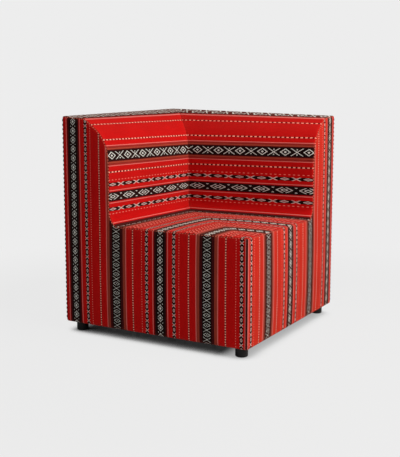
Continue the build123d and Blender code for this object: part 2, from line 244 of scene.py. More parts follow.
def seam_rings():
    """The rounding of an edge, then a tighter turn into the seam on the diagonal between two panels."""
    diagonal = math.pi / 4
    inner = edge_radius - seam_radius
    turn = math.acos(seam_radius / inner) - diagonal
    rings = rolled_rings(edge_radius, turn, seam_round_rings)
    centre = edge_radius - inner * np.array([math.sin(turn), math.cos(turn)])
    angles = np.linspace(turn, math.pi - diagonal, seam_turn_rings)
    cloth = rings[-1][2]
    for before, angle in zip(angles, angles[1:]):
        cloth -= seam_radius * (angle - before)
        point = centre - seam_radius * np.array([math.sin(angle), math.cos(angle)])
        rings.append((point[0], point[1], cloth))
    step = seam_depth * math.cos(diagonal)
    inset, depth, _ = rings[-1]
    rings.append((inset + step, depth + step, cloth - seam_depth))
    return rings


def edge_rings(side_inset, back_depth):
    """Rings of each kind of edge, from the face to the back of the piece."""
    seam = seam_rings()
    if back_depth > side_inset:
        seam = led_to(led_to(seam, (side_inset, side_inset), 1), (side_inset, back_depth), step_rings)
    else:
        seam = led_to(seam, (side_inset, back_depth), side_rings)
    quarter = math.pi / 2
    hem = led_to(rolled_rings(edge_radius, quarter, round_rings), (hem_step, edge_radius), step_rings)
    hem = led_to(led_to(hem, (hem_step, side_inset), step_rings), (side_inset, back_depth), side_rings)
    tuck = led_to(rolled_rings(tuck_radius, quarter, round_rings), (tuck_gap, back_depth), tuck_rings)
    mitre = led_to(rolled_rings(mitre_radius, quarter, round_rings), (tuck_gap, back_depth), tuck_rings)
    return {"seam": seam, "join": seam, "side": seam, "hem": hem, "tuck": tuck, "mitre": mitre}


# Pattern pieces

same_rounding = ("seam", "join", "side")


class Loop:
    """Points round a piece, with the kinds of edge before and after each and the ways in from them."""

    def __init__(self, runs):
        points, self.before, self.after, self.own = [], [], [], []
        last_kind = runs[-1][0]
        for kind, run in runs:
            run = spaced(run)
            along = lengths_along(run)
            ends = np.minimum(along, along[-1] - along)
            for place, point in enumerate(run[:-1]):
                points.append(point)
                self.before.append(kind if place else last_kind)
                self.after.append(kind)
                self.own.append(0 if kind in same_rounding else float(smooth_step(ends[place] / hem_blend)))
            last_kind = kind
        self.points = np.array(points)
        self.own = np.array(self.own)
        into = self.points - np.roll(self.points, 1, axis=0)
        out = np.roll(into, -1, axis=0)
        self.in_before = self.square_to(into)
        self.in_after = self.square_to(out)
        self.cosine = (self.in_before * self.in_after).sum(1)

    @staticmethod
    def square_to(ways):
        ways = ways / np.linalg.norm(ways, axis=1)[:, None]
        return np.stack([-ways[:, 1], ways[:, 0]], axis=1)

    def drawn_in(self, insets):
        """The loop with each kind of edge moved in by its own distance."""
        first = np.array([insets[kind] for kind in self.before])
        second = np.array([insets[kind] for kind in self.after])
        middle = (self.in_before + self.in_after) / (1 + self.cosine)[:, None]
        straight = middle * ((first + second) / 2)[:, None]
        spread = np.maximum(1 - self.cosine**2, same_point)
        share_first = (first - second * self.cosine) / spread
        share_second = (second - first * self.cosine) / spread
        turned = self.in_before * share_first[:, None] + self.in_after * share_second[:, None]
        is_corner = (self.cosine < corner_cosine)[:, None]
        return self.points + np.where(is_corner, turned, straight)

    def blended(self, values):
        """One value for each point, that of its own kind of edge away from the ends of a run."""
        own = np.array([values[kind] for kind in self.after])
        return values["seam"] + (own - values["seam"]) * self.own


def inside(polygon, points):
    """Which points lie inside a polygon."""
    found = np.zeros(len(points), bool)
    for first, last in zip(polygon, np.roll(polygon, -1, axis=0)):
        spans = (first[1] > points[:, 1]) != (last[1] > points[:, 1])
        rise = last[1] - first[1]
        if rise == 0:
            continue
        crossing = first[0] + (points[:, 1] - first[1]) * (last[0] - first[0]) / rise
        found ^= spans & (points[:, 0] < crossing)
    return found


def nearest_edge(points, loop):
    """Distance of each point to a closed line, and the index of the line's nearest point."""
    gaps = np.linalg.norm(points[:, None] - loop[None], axis=2)
    return gaps.min(1), gaps.argmin(1)


def filled_face(boundary):
    """Points on a grid inside a closed line, and the faces that join them to it."""
    low, high = boundary.min(0), boundary.max(0)
    counts = np.round((high - low) / fill_spacing).astype(int)
    columns = np.linspace(low[0], high[0], counts[0] + 1)
    rows = np.linspace(low[1], high[1], counts[1] + 1)
    grid = np.stack(np.meshgrid(columns, rows), axis=2).reshape(-1, 2)
    grid = grid[inside(boundary, grid)]
    clear, _ = nearest_edge(grid, boundary)
    grid = grid[clear > fill_spacing * fill_clear_share]
    points = np.concatenate([boundary, grid])
    ring = list(range(len(boundary)))
    made = delaunay_2d_cdt([Vector(point) for point in points], [], [ring], 1, same_point)
    origin = [sources[0] for sources in made[3]]
    return grid, [tuple(origin[corner] for corner in face) for face in made[2]]


class Piece:
    """A closed padded piece: its points on the flat pattern, their depth, and its faces."""

    def __init__(self, runs, side_inset=pad_depth, back_depth=pad_depth):
        loop = Loop(runs)
        rings = edge_rings(side_inset, back_depth)
        count = len(loop.points)
        flat, depth, cloth = [], [], []
        for level in zip(*rings.values()):
            insets, depths, cloth_insets = (dict(zip(rings, values)) for values in zip(*level))
            flat.append(loop.drawn_in(insets))
            depth.append(loop.blended(depths))
            cloth.append(loop.drawn_in(cloth_insets))
        grid, fill = filled_face(flat[0])
        ring_count = len(flat)
        self.flat = np.concatenate(flat + [grid, grid])
        self.cloth = np.concatenate(cloth + [grid, grid])
        self.depth = np.concatenate(depth + [np.zeros(len(grid)), np.full(len(grid), back_depth)])
        leans = np.array([kind == "mitre" for kind in loop.after]) * loop.own
        self.lean = np.concatenate([np.tile(leans, ring_count), np.zeros(2 * len(grid))])
        front_start = ring_count * count
        back_start = front_start + len(grid)
        back_ring = (ring_count - 1) * count

        def filling(ring_start, fill_start):
            return [[corner + (fill_start - count if corner >= count else ring_start) for corner in face]
                    for face in fill]

        self.faces = filling(0, front_start)
        for level in range(ring_count - 1):
            for place in range(count):
                following = (place + 1) % count
                start, end = level * count, (level + 1) * count
                self.faces.append([start + following, start + place, end + place, end + following])
        self.faces += [face[::-1] for face in filling(back_ring, back_start)]
        self.front = np.zeros(len(self.flat), bool)
        self.front[front_start:back_start] = True
        self.from_edge, nearest = nearest_edge(self.flat, loop.points)
        self.along_edge = lengths_along(loop.points)[nearest]
        self.seam_nearness = np.clip(1 - self.from_edge / seam_wear_and_highlight_reach, 0, 1)
        kinds = np.array(loop.after)[nearest]
        self.from_seam = np.where(kinds == "seam", self.from_edge, module_side)
        self.on_cloth = self.cloth


# Where the pattern pieces go

def on_front(piece):
    """Places of a piece's points on the front face."""
    flat, depth = piece.flat, piece.depth
    return np.stack([flat[:, 0] - half, depth - half, flat[:, 1]], axis=1)


def on_left(piece):
    """Places of a piece's points on the left outer face."""
    return on_front(piece)[:, [1, 0, 2]]


def crown_share(x_share, y_share):
    """Height of a crown over a rectangle, from 0 at its edges to 1 in the middle."""
    rise_x, rise_y = (np.clip(4 * share * (1 - share), 0, 1) for share in (x_share, y_share))
    return rise_x * rise_y


def on_seat(piece):
    """Places of a piece's points on the crowned seat."""
    flat, depth = piece.flat, piece.depth
    reach = module_side - seat_line
    rise = seat_crown * crown_share((flat[:, 0] - seat_line) / reach, flat[:, 1] / reach)
    level = seat_top - depth + np.where(depth < pad_depth, rise, 0)
    return np.stack([flat[:, 0] - half, flat[:, 1] - half, level], axis=1)


def on_back(piece):
    """Places of a piece's points on the top, slope and wall of the left back."""
    along = np.clip(piece.flat[:, 1], 0, profile_length)
    over = piece.flat[:, 1] - along
    x, z = (np.interp(along, profile_along, part) for part in profile.T)
    way = np.gradient(profile, profile_along, axis=0)
    way /= np.linalg.norm(way, axis=1)[:, None]
    way_x, way_z = (np.interp(along, profile_along, part) for part in way.T)
    x += way_x * over + way_z * piece.depth
    z += way_z * over - way_x * piece.depth
    y = piece.flat[:, 0] - piece.lean * way_z * piece.depth
    return np.stack([x - half, y - half, z], axis=1)


def with_raised_corner(places, depth):
    """Points lifted where the crest climbs to the corner between the backs, on the left one of them. Where
    it falls instead, at the end, the padding is pressed thinner."""
    share = np.clip(places[:, 1] / module_side + 1 / 2, 0, 1)
    in_from_crest = smooth_step(1 - (places[:, 0] + half) / rise_fade_in)
    down_from_crest = smooth_step(1 - (body_top - places[:, 2]) / rise_fade_down)
    lift = (corner_rise * share - end_fall) * in_from_crest * down_from_crest
    pressed = np.clip(1 - depth / pad_depth, 0, 1)
    lifted = places.copy()
    lifted[:, 2] += np.where(lift < 0, lift * pressed, lift)
    return lifted


def twin_places(places):
    """The same points on the other side of the mitre plane."""
    return np.stack([-places[:, 1], -places[:, 0], places[:, 2]], axis=1)


box_corners = []
for x, y in ((-1, -1), (-1, 1), (1, 1), (1, -1)):
    top = seat_top if (x, y) == (1, -1) else body_top
    box_corners.append(((x * half, y * half, top), (x, y, 1)))
    box_corners.append(((x * half, y * half, body_bottom), (x, y, -1)))


def with_round_corners(places):
    """Points drawn in to a ball at each outer corner of the block."""
    places = places.copy()
    for corner, outward in box_corners:
        outward = np.array(outward)
        centre = np.array(corner) - edge_radius * outward
        from_centre = (places - centre) * outward
        away = np.linalg.norm(from_centre, axis=1)
        beyond = (from_centre > 0).all(1) & (away > edge_radius)
        drawn = centre + from_centre * outward * (edge_radius / np.maximum(away, edge_radius))[:, None]
        places[beyond] = drawn[beyond]
    return places


def shown(name, data):
    """A new object in the scene."""
    made = bpy.data.objects.new(name, data)
    scene.collection.objects.link(made)
    return made


def made_mesh(name, places, piece, flip):
    """A closed mesh of a piece, with where each corner lies on the cloth as its UV map."""
    mesh = bpy.data.meshes.new(name)
    faces = [face[::-1] for face in piece.faces] if flip else piece.faces
    mesh.from_pydata(places.tolist(), [], faces)
    corner_points = np.zeros(len(mesh.loops), np.int32)
    mesh.loops.foreach_get("vertex_index", corner_points)
    uv_map = mesh.uv_layers.new(name="cloth")
    uv_map.data.foreach_set("uv", piece.on_cloth[corner_points].astype(np.float32).ravel())
    for attribute in ("seam_nearness", "from_seam", "along_edge"):
        layer = mesh.attributes.new(attribute, "FLOAT", "POINT")
        layer.data.foreach_set("value", getattr(piece, attribute).astype(np.float32))
    return mesh


def outward_ways(places, piece, flip):
    """Normal at each point of a piece."""
    mesh = made_mesh("outward", places, piece, flip)
    normals = np.zeros(places.size, np.float32)
    mesh.vertex_normals.foreach_get("vector", normals)
    bpy.data.meshes.remove(mesh)
    return normals.reshape(-1, 3).astype(float)


def swollen(name, places, piece, swell, flip):
    """Points of a piece after its face is blown out as taut cloth, held at its edges and its back."""
    outward = outward_ways(places, piece, flip)
    rest = shown(name + "_rest", made_mesh(name + "_rest", places, piece, flip))
    held = rest.vertex_groups.new(name="held")
    held.add(np.flatnonzero(~piece.front).tolist(), 1, "REPLACE")
    cloth = rest.modifiers.new("cloth", "CLOTH")
    cloth.settings.vertex_group_mass = "held"
    cloth.settings.use_pressure = True
    cloth.settings.uniform_pressure_force = cloth_pressure
    cloth.settings.effector_weights.gravity = 0
    cloth.point_cache.frame_end = cloth_frames
    for step in range(1, cloth_frames + 1):
        scene.frame_set(step)
    moved = rest.evaluated_get(bpy.context.evaluated_depsgraph_get()).to_mesh()
    after = np.zeros(places.size, np.float32)
    moved.vertices.foreach_get("co", after)
    shift = after.reshape(-1, 3).astype(float) - places
    bpy.data.objects.remove(rest)
    scene.frame_set(1)
    lift = (shift * outward).sum(1) * piece.front
    lift = np.minimum(np.maximum(lift, 0) * swell / max(lift.max(), same_point), swell)
    return places + outward * lift[:, None]


def drift(places, seed):
    """A slow unevenness from -1 to 1, summed from a few waves."""
    order = np.random.default_rng(seed)
    total = np.zeros(len(places))
    for _ in range(drift_waves):
        way = order.normal(size=3)
        way /= np.linalg.norm(way)
        length = drift_length * order.uniform(*drift_length_range)
        total += np.sin(places @ way * math.tau / length + order.uniform(0, math.tau))
    return total / drift_waves


def puckered(places, piece, seed, flip):
    """Points with small pulls along the seams and a slow unevenness over the face."""
    outward = outward_ways(places, piece, flip)
    along = piece.along_edge
    order = np.random.default_rng(seed)
    spacing = pucker_spacing * (1 + pucker_change * np.sin(along / pucker_change_length + seed))
    pull = np.sin(along * math.tau / spacing + order.uniform(0, math.tau))
    near = np.clip(1 - piece.from_edge / pucker_reach, 0, 1) * smooth_step(piece.from_edge / edge_radius)
    calm = smooth_step(piece.from_edge / swell_reach)
    shift = pucker_depth * pull * near + drift_depth * drift(places, seed) * calm
    return places + outward * (shift * piece.front)[:, None]


# Material nodes

highest_level = 255


def paint(red, green, blue):
    """A colour as written, from 0 to 255, as the linear values that a material takes."""
    colour = Color((red, green, blue)) / highest_level
    return (*colour.from_srgb_to_scene_linear(), 1)


class Graph:
    """The node tree of a material or world, with short calls for the nodes used here."""

    def __init__(self, name, owners=bpy.data.materials):
        self.owner = owners.new(name)
        self.owner.use_nodes = True
        self.tree = self.owner.node_tree
        self.tree.nodes.clear()

    def node(self, kind, **settings):
        made = self.tree.nodes.new(kind)
        for setting, value in settings.items():
            setattr(made, setting, value)
        return made

    def feed(self, socket, value):
        if isinstance(value, bpy.types.NodeSocket):
            self.tree.links.new(value, socket)
        else:
            socket.default_value = value

    def fed_into(self, kind, values, **settings):
        """A new node, with a value or link for each of its first inputs, or for each input named."""
        made = self.node(kind, **settings)
        for socket, value in values.items() if isinstance(values, dict) else enumerate(values):
            self.feed(made.inputs[socket], value)
        return made

    def fed(self, kind, values, **settings):
        """First output of such a node."""
        return self.fed_into(kind, values, **settings).outputs[0]

    def math(self, operation, *values):
        return self.fed("ShaderNodeMath", values, operation=operation)

    add = partialmethod(math, "ADD")
    minus = partialmethod(math, "SUBTRACT")
    times = partialmethod(math, "MULTIPLY")
    over = partialmethod(math, "DIVIDE")
    less = partialmethod(math, "LESS_THAN")
    more = partialmethod(math, "GREATER_THAN")
    lower = partialmethod(math, "MINIMUM")
    higher = partialmethod(math, "MAXIMUM")
    # A value that climbs to a reach and falls to 0 again, in turn
    back_and_forth = partialmethod(math, "PINGPONG")

    def gap(self, first, second):
        return self.math("ABSOLUTE", self.minus(first, second))

    def both(self, *masks):
        return reduce(self.lower, masks)

    def either(self, *masks):
        return reduce(self.higher, masks)

    def between(self, value, low, high):
        """Mask of the values between two limits."""
        return self.both(self.more(value, low), self.less(value, high))

    def wave(self, value, spacing):
        return self.math("SINE", self.times(value, math.tau / spacing))

    def snapped(self, value, cell):
        """The middle of the cell that a value falls in."""
        return self.add(self.math("SNAP", value, cell), cell / 2)

    def smooth(self, value, low, high):
        return self.fed("ShaderNodeMapRange", (value, low, high, 0, 1), interpolation_type="SMOOTHSTEP")

    def mixed(self, share, first, second, blend="MIX"):
        """Mix of two colours, which are the node's inputs 6 and 7 and its output 2."""
        values = {0: share, 6: first, 7: second}
        return self.fed_into("ShaderNodeMix", values, data_type="RGBA", blend_type=blend).outputs[2]

    def scaled_colour(self, colour, strength):
        """A colour made darker or lighter by a value."""
        grey = self.fed("ShaderNodeCombineColor", (strength, strength, strength))
        return self.mixed(1, colour, grey, "MULTIPLY")

    def noise(self, vector, scale, detail=2):
        return self.fed("ShaderNodeTexNoise", {"Vector": vector, "Scale": scale, "Detail": detail})

    def vector(self, x, y, z=0):
        return self.fed("ShaderNodeCombineXYZ", (x, y, z))

    def split(self, vector):
        """The three parts of a vector."""
        return self.fed_into("ShaderNodeSeparateXYZ", (vector,)).outputs

    def place(self):
        """Place on the object, in metres."""
        return self.node("ShaderNodeTexCoord").outputs["Object"]

    def kept(self, name):
        """A value kept on the mesh's points."""
        return self.node("ShaderNodeAttribute", attribute_name=name).outputs["Fac"]

    def finished(self, shader, output="ShaderNodeOutputMaterial"):
        """The material or world, once its last shader goes to its output."""
        self.fed_into(output, (shader,))
        return self.owner

    def shade(self, colour, roughness, height, bump, **constants):
        """Ends the graph in one shader, with bump from a height and constants on its own sockets."""
        bumped = self.fed("ShaderNodeBump", {"Strength": 1, "Distance": bump, "Height": height})
        values = {"Base Color": colour, "Roughness": roughness, "Normal": bumped, **constants}
        return self.finished(self.fed("ShaderNodeBsdfPrincipled", values))


# Woven cloth with banded patterns of the Sadu kind

red = paint(188, 5, 7)
# The same red painted lighter and more orange: a painted lit copy of it for the right face, where the key
# light falls
painted_lit_red = paint(186, 28, 13)
maroon = paint(58, 3, 8)
black = paint(5, 4, 6)
cream = paint(212, 213, 205)
dim_cream = paint(200, 174, 166)
bead_thread = paint(136, 92, 92)
pink = paint(210, 104, 98)
brown = paint(144, 54, 40)
russet = paint(150, 36, 30)
deep_red = paint(104, 14, 14)
tan = paint(152, 56, 40)
pale_dot = paint(238, 160, 140)
dim_dot = paint(220, 112, 100)
dark_dash = paint(56, 5, 9)
stitch_thread = paint(206, 104, 84)
# Paler tint near the seams: partly wear, partly a painted highlight on the rounded edges
wear_and_highlight = paint(214, 96, 80)

stripe_cell = 0.0013
thread_cell = 0.0017
rib_spacing = 0.0018
weft_spacing = 0.0022
rib_height = 0.00022
weft_height_share = 0.35
streak_height_share = 0.6
dotted_reach = 0.0022
dotted_share = 0.26
dots_reach = 0.0014
dots_share = 0.22
noise_middle = 0.5
streak_stretch = 0.04
streak_scale = 420
streak_strength = 0.3
cloud_scale = 9
cloud_strength = 0.22
weave_tone = 0.05
# Share of the paler seam tint, partly wear and partly painted highlight, right at a seam
seam_wear_and_highlight_share = 0.06
cloth_roughness = 0.9
cloth_finish = {
    "Sheen Weight": 0.15, "Sheen Roughness": 0.5, "Sheen Tint": paint(255, 150, 124),
    "Specular IOR Level": 0.06,
}

# Shapes of the motifs, in shares of half a repeat along and of half a band across
rhombus_size = (0.47, 0.98)
cross_slope = 1.95
cross_line_share = 0.44
cross_end = 0.98
spikes_per_line = 6
spike_span = (0.52, 0.86)
chevron_size = (0.79, 1.05)
chevron_end = 0.76
inner_rhombus_size = (0.37, 0.42)
mark_start = 0.48
mark_slope = 0.5
bead_size = (0.44, 0.84)
bead_outline_start = 0.58
bead_ground_waist = 0.44
bead_ground_slope = 1.3
bead_ground_end = 1.08
bead_cross_slope = 3.0
bead_cross_line = 0.24


def rhombus(graph, along, across, length, width):
    """Distance out from the middle of a rhombus: 1 on its outline."""
    return graph.add(graph.over(along, length), graph.over(across, width))


def rhombus_and_cross(graph, along, from_cross, across, line, eye):
    """Main band: an outlined rhombus in turn with a cross."""
    shape = rhombus(graph, along, across, *rhombus_size)
    outline = graph.between(shape, 1 - line, 1)
    middle = graph.between(shape, *eye)
    arm = graph.gap(across, graph.times(from_cross, cross_slope))
    cross = graph.both(graph.less(arm, line * cross_line_share), graph.less(across, cross_end))
    spike = graph.both(graph.less(from_cross, line / spikes_per_line), graph.between(across, *spike_span))
    return graph.either(outline, middle, cross, spike)


def nested_chevrons(graph, along, from_cross, across, line, eye):
    """Main band: two facing chevrons round a small rhombus, and marks at the edges between them."""
    shape = rhombus(graph, along, across, *chevron_size)
    chevrons = graph.both(graph.between(shape, 1 - line, 1), graph.less(across, chevron_end))
    middle = graph.between(rhombus(graph, along, across, *inner_rhombus_size), *eye)
    mark_width = graph.times(graph.minus(across, mark_start), mark_slope)
    edge_mark = graph.both(graph.less(from_cross, mark_width), graph.less(across, chevron_end))
    return graph.either(chevrons, middle, edge_mark)


def beads(graph, along, from_cross, across):
    """Small band: its dark ground, its beads, and the pale outlines and crosses between them."""
    widening = graph.add(graph.times(from_cross, bead_ground_slope), bead_ground_waist)
    ground = graph.less(across, graph.lower(widening, bead_ground_end))
    shape = rhombus(graph, along, across, *bead_size)
    arm = graph.gap(across, graph.times(from_cross, bead_cross_slope))
    cross = graph.both(graph.less(arm, bead_cross_line), graph.less(across, 1))
    outline = graph.between(shape, bead_outline_start, 1)
    return ground, graph.less(shape, 1), graph.either(outline, cross)


def woven(name, lines, bands, repeat, phase, dot_spacing, fold=None, edge_lines=(), ground=red):
    """Banded cloth. Places and reaches are across the bands, the repeat, phase and spacing along them. A
    cloth with edge lines is also stitched along its seams."""
    graph = Graph(name)
    on_cloth = graph.node("ShaderNodeUVMap", uv_map="cloth").outputs[0]
    true_along, true_across, _ = graph.split(on_cloth)
    across = true_across
    if fold:
        start, width = fold
        across = graph.back_and_forth(graph.minus(true_across, start), width)
    shifted = graph.minus(true_along, phase)
    along = graph.snapped(shifted, repeat / round(repeat / thread_cell))
    to_motif = graph.over(graph.back_and_forth(along, repeat / 2), repeat / 2)
    to_cross = graph.minus(1, to_motif)

    def gap_to_nearest(centres):
        """Distance across the stripes from the nearest of several centres."""
        return graph.both(*(graph.gap(across, centre) for centre in centres))

    def share_across(reach, centres):
        return graph.over(graph.snapped(gap_to_nearest(centres), stripe_cell), reach)

    colour = ground
    for reach, tint, centres in lines:
        colour = graph.mixed(graph.less(gap_to_nearest(centres), reach), colour, tint)
    for motif, reach, line, eye, centres in bands["motifs"]:
        drawn = motif(graph, to_motif, to_cross, share_across(reach, centres), line, eye)
        colour = graph.mixed(drawn, colour, cream)
    marks = beads(graph, to_motif, to_cross, share_across(*bands["beads"]))
    for mark, tint in zip(marks, (black, bead_thread, dim_cream)):
        colour = graph.mixed(mark, colour, tint)

    from_dot = graph.back_and_forth(shifted, dot_spacing / 2)

    def dotted_rows(centres, reach, share):
        """Masks of some rows and of the dots in them."""
        in_rows = graph.less(gap_to_nearest(centres), reach)
        return in_rows, graph.both(in_rows, graph.less(from_dot, dot_spacing * share))

    in_dotted, dotted = dotted_rows(bands["dotted"], dotted_reach, dotted_share)
    _, dots = dotted_rows(bands["dots"], dots_reach, dots_share)
    for mask, tint in ((in_dotted, maroon), (dotted, pale_dot), (dots, dim_dot)):
        colour = graph.mixed(mask, colour, tint)
    for low, high, tint in edge_lines:
        colour = graph.mixed(graph.between(true_across, low, high), colour, tint)
    if edge_lines:
        from_stitch = graph.back_and_forth(graph.kept("along_edge"), stitch_spacing / 2)
        stitch = graph.mixed(graph.less(from_stitch, stitch_spacing / 4), dark_dash, stitch_thread)
        on_seam = graph.between(graph.kept("from_seam"), stitch_from, stitch_to)
        colour = graph.mixed(on_seam, colour, stitch)

    rib = graph.wave(true_across, rib_spacing)
    weft = graph.wave(true_along, weft_spacing)
    streaks = graph.noise(graph.vector(graph.times(true_along, streak_stretch), true_across), streak_scale)
    clouds = graph.noise(on_cloth, cloud_scale)
    tone = graph.times(graph.times(rib, weft), weave_tone)
    for noise, strength in ((streaks, streak_strength), (clouds, cloud_strength)):
        tone = graph.add(tone, graph.times(graph.minus(noise, noise_middle), strength))
    tone = graph.add(tone, 1)
    colour = graph.scaled_colour(colour, tone)
    # Paler near the seams: partly wear, partly a painted highlight along the rounded edges
    colour = graph.mixed(graph.times(graph.kept("seam_nearness"), seam_wear_and_highlight_share), colour, wear_and_highlight)

    ribbed = graph.times(rib, graph.add(graph.times(weft, weft_height_share), 1 - weft_height_share))
    height = graph.add(ribbed, graph.times(streaks, streak_height_share))
    return graph.shade(colour, cloth_roughness, height, rib_height, **cloth_finish)


# On the front and right faces the bands stand upright, and each kind follows the other in turn. The places
# are from the middle of a cross band, and the fold starts at the first of them.
band_gap = 0.183
outer_lines = [
    (0.0395, brown, [0]),
    (0.0282, maroon, [0]),
    (0.0258, maroon, [band_gap]),
    (0.0185, black, [0, band_gap]),
    (0.0017, pink, [0.0412, 0.153]),
]
outer_bands = {
    "motifs": [
        (rhombus_and_cross, 0.015, 0.21, (0, 0.22), [0]),
        (nested_chevrons, 0.0132, 0.22, (0, 0.8), [band_gap]),
    ],
    "beads": (0.006, [0.128]),
    "dotted": [0.07],
    "dots": [0.1075],
}
outer_pattern = {
    "lines": outer_lines, "bands": outer_bands, "repeat": 0.0337, "phase": 0, "dot_spacing": 0.0088,
    "fold": (0.233, band_gap),
}
front_edge_lines = [(0.7392, 0.742, pink), (0.742, 0.751, black)]
right_edge_lines = [(0.7436, 0.7478, pink)]
front_cloth = woven("sadu_cloth", **outer_pattern, edge_lines=front_edge_lines)
# The right face's ground red is painted light: lighter and more orange than the front's, as the key light
# falls on it.
right_cloth = woven("sadu_cloth_right", **outer_pattern, edge_lines=right_edge_lines, ground=painted_lit_red)

# On the backs they lie level. The places are along the profile from the crest.
wall_band = 0.275
low_band = 0.42
foot_band = 0.556
back_lines = [
    (0.0045, pink, [0.106]),
    (0.056, maroon, [0.042]),
    (0.0378, pink, [wall_band]),
    (0.0348, russet, [wall_band]),
    (0.0292, deep_red, [wall_band]),
    (0.0276, tan, [wall_band]),
    (0.0212, maroon, [wall_band]),
    (0.017, maroon, [low_band]),
    (0.036, maroon, [foot_band]),
    (0.0172, black, [wall_band]),
    (0.0138, black, [low_band]),
    (0.029, black, [foot_band]),
    (0.0016, pink, [0.3982, 0.4418, 0.514]),
]
back_bands = {
    "motifs": [
        (rhombus_and_cross, 0.04, 0.3, (0, 0.3), [0.044]),
        (rhombus_and_cross, 0.0142, 0.23, (0.08, 0.3), [wall_band]),
        (nested_chevrons, 0.0136, 0.19, (0.6, 1), [low_band]),
    ],
    "beads": (0.0062, [0.377, 0.464]),
    "dotted": [0.14, 0.216, 0.333],
    "dots": [0.361, 0.48],
}
back_pattern = {
    "lines": back_lines, "bands": back_bands, "repeat": 0.0965, "phase": 0.022, "dot_spacing": 0.0193,
}
back_cloth = woven("sadu_cloth_wide", **back_pattern)

# On the seat the same bands show with more rows of dashes between them.
seat_bands = {
    "motifs": [(nested_chevrons, 0.015, 0.34, (0, 1), [0, band_gap])],
    "beads": (0.0066, [0.128]),
    "dotted": [0.052, 0.07, 0.086],
    "dots": [0.1075, 0.118, 0.14],
}
seat_pattern = outer_pattern | {"bands": seat_bands, "dot_spacing": 0.02}
seat_cloth = woven("sadu_cloth_seat", **seat_pattern)


# Other materials

foot_look = {
    "pale": paint(18, 18, 19), "dark": paint(8, 8, 9), "patch_scale": 60, "grain_scale": 900,
    "roughness": 0.36, "roughness_change": 0.25, "height": 0.00008, "Specular IOR Level": 0.3,
}
steel_look = {
    "pale": paint(202, 205, 208), "dark": paint(168, 172, 176), "patch_scale": 240, "grain_scale": 240,
    "roughness": 0.28, "roughness_change": 0.2, "height": 0.00005, "Metallic": 1,
}

timber_scale = 120
timber_detail = 4
timber_stretch = 0.06
timber_limits = (0.35, 0.65)
timber_height = 0.0003
timber_roughness = 0.7

webbing_spacing = 0.003
webbing_height = 0.0003
lining_spacing = 0.0016
thread_spacing = 0.0012
fine_height = 0.0001
weave_limits = (-1, 2)
weave_cloud_scale = 14
weave_cloud_strength = 0.4
weave_cloud_low = 0.8

foam_pale = paint(240, 228, 186)
foam_dark = paint(214, 196, 140)
foam_cell_scale = 500
foam_cell_limits = (0, 0.8)
foam_cell_height = 0.0005
foam_roughness = 0.95


def patchy(name, pale, dark, patch_scale, grain_scale, roughness, roughness_change, height, **constants):
    """Plastic or metal that is a little rougher and paler in patches, with a fine grain."""
    graph = Graph(name)
    patches = graph.noise(graph.place(), patch_scale)
    grain = graph.noise(graph.place(), grain_scale)
    rough = graph.add(graph.times(patches, roughness_change), roughness)
    return graph.shade(graph.mixed(patches, dark, pale), rough, grain, height, **constants)


def timber(name, pale, dark, along):
    """Sawn softwood or plywood, with its grain stretched along one axis."""
    graph = Graph(name)
    parts = graph.split(graph.place())
    stretched = [graph.times(part, 1 if axis != along else timber_stretch) for axis, part in enumerate(parts)]
    grain = graph.noise(graph.vector(*stretched), timber_scale, timber_detail)
    tint = graph.mixed(graph.smooth(grain, *timber_limits), pale, dark)
    return graph.shade(tint, timber_roughness, grain, timber_height)


def fine_weave(name, pale, dark, spacing, height):
    """Plain weave seen as a fine grid of threads."""
    graph = Graph(name)
    parts = graph.split(graph.place())
    waves = [graph.wave(part, spacing) for part in parts]
    weave = graph.times(graph.add(waves[0], waves[2]), graph.add(waves[1], waves[2]))
    cloud = graph.noise(graph.place(), weave_cloud_scale)
    tint = graph.mixed(graph.smooth(weave, *weave_limits), dark, pale)
    tint = graph.scaled_colour(tint, graph.add(graph.times(cloud, weave_cloud_strength), weave_cloud_low))
    return graph.shade(tint, cloth_roughness, weave, height)


def foam_rubber():
    """Cut foam with small open cells."""
    graph = Graph("foam")
    cells = graph.fed("ShaderNodeTexVoronoi", {"Vector": graph.place(), "Scale": foam_cell_scale})
    tint = graph.mixed(graph.smooth(cells, *foam_cell_limits), foam_dark, foam_pale)
    return graph.shade(tint, foam_roughness, cells, foam_cell_height)


materials = {
    "foot_plastic": patchy("black_plastic", **foot_look),
    "pine": timber("pine", paint(226, 190, 138), paint(190, 142, 88), 2),
    "plywood": timber("plywood", paint(216, 180, 130), paint(178, 134, 86), 1),
    "foam": foam_rubber(),
    "webbing": fine_weave(
        "webbing", paint(196, 176, 140), paint(120, 92, 60), webbing_spacing, webbing_height,
    ),
    "lining_cloth": fine_weave(
        "lining_cloth", paint(52, 50, 52), paint(20, 19, 21), lining_spacing, fine_height,
    ),
    "zinc_steel": patchy("zinc_steel", **steel_look),
    "woven_cover": front_cloth,
    "thread": fine_weave("dark_thread", paint(30, 5, 8), paint(10, 3, 4), thread_spacing, fine_height),
}
slot_of_node = {part["node"]: part["material_slot"] for part in frame["record"]["subparts"]}
for node_name, cad_node in frame["nodes"].items():
    cad_node.data.materials.clear()
    cad_node.data.materials.append(materials[slot_of_node[node_name]])


# The cover panels

join_angle = 0.7


def add_panel(name, piece, places, flip, cloth, nodes):
    """A finished panel, riding on the frame in place of its CAD nodes."""
    mesh = made_mesh(name, places, piece, flip)
    shape = bmesh.new()
    shape.from_mesh(mesh)
    bmesh.ops.join_triangles(
        shape, faces=shape.faces, angle_face_threshold=join_angle, angle_shape_threshold=join_angle,
    )
    bmesh.ops.recalc_face_normals(shape, faces=shape.faces)
    shape.to_mesh(mesh)
    shape.free()
    mesh.shade_smooth()
    mesh.materials.append(cloth)
    panel = shown(name, mesh)
    finer = panel.modifiers.new("finer", "SUBSURF")
    finer.levels = finer.render_levels = 1
    finer.use_limit_surface = False
    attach(panel, "root")
    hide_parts(*nodes)


